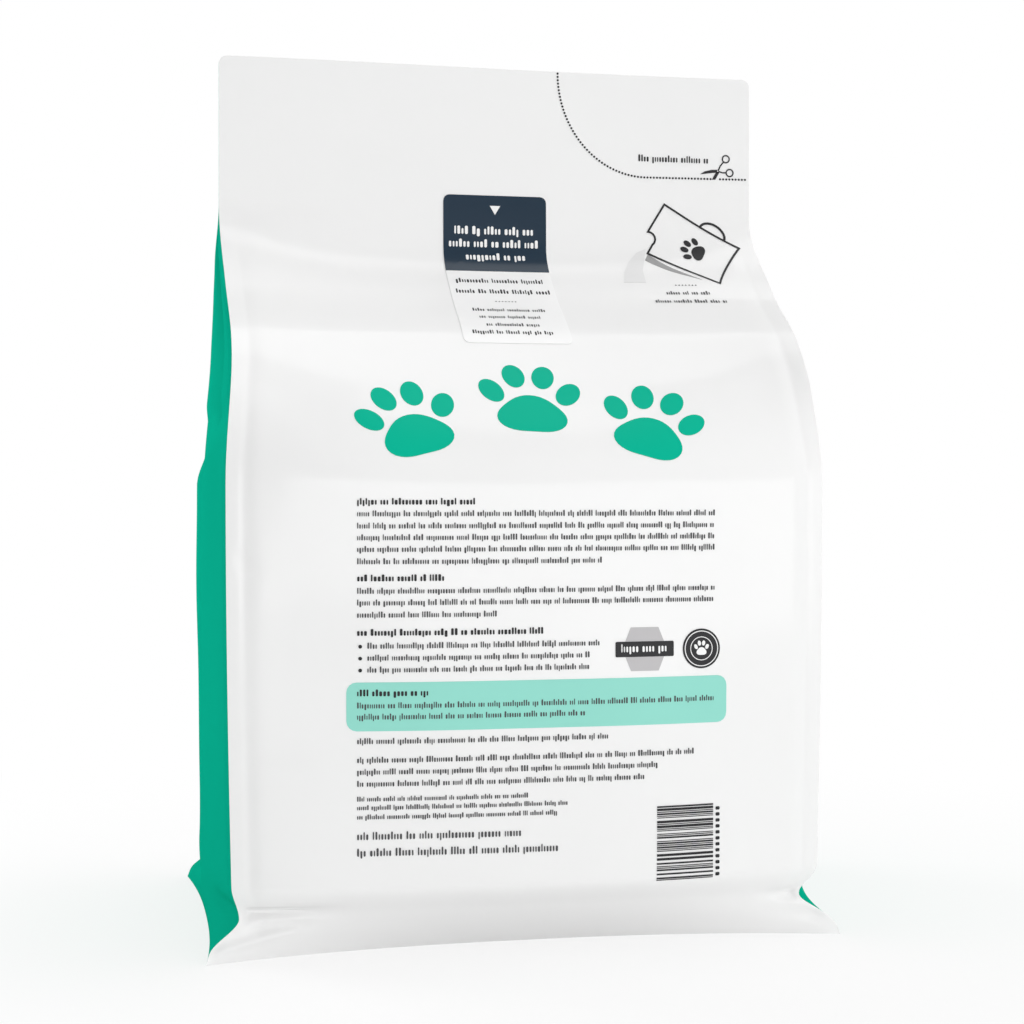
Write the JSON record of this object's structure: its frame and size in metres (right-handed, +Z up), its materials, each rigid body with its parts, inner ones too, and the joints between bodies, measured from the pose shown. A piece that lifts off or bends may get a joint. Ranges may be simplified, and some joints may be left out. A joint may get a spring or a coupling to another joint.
{
  "type": "cat litter bag",
  "caption": "Filled film bag of cat litter that stands on a flat bottom, with folded side gussets, sloping shoulders, a flat sealed top band and a reseal sticker.",
  "frame": {"origin": "middle of the base, on the surface that the bag stands on", "axes": "+Z up, +X along the width of the flat top band, and the printed panel with the sticker faces -Y"},
  "size_m": [0.263, 0.2, 0.375],
  "materials": {
    "film": "white printed film with green side gussets, glossy",
    "sticker": "adhesive label, dark slate above and white below, satin"
  },
  "bodies": {
    "root": {"bag": "film", "reseal_sticker": "sticker"}
  },
  "joints": []
}
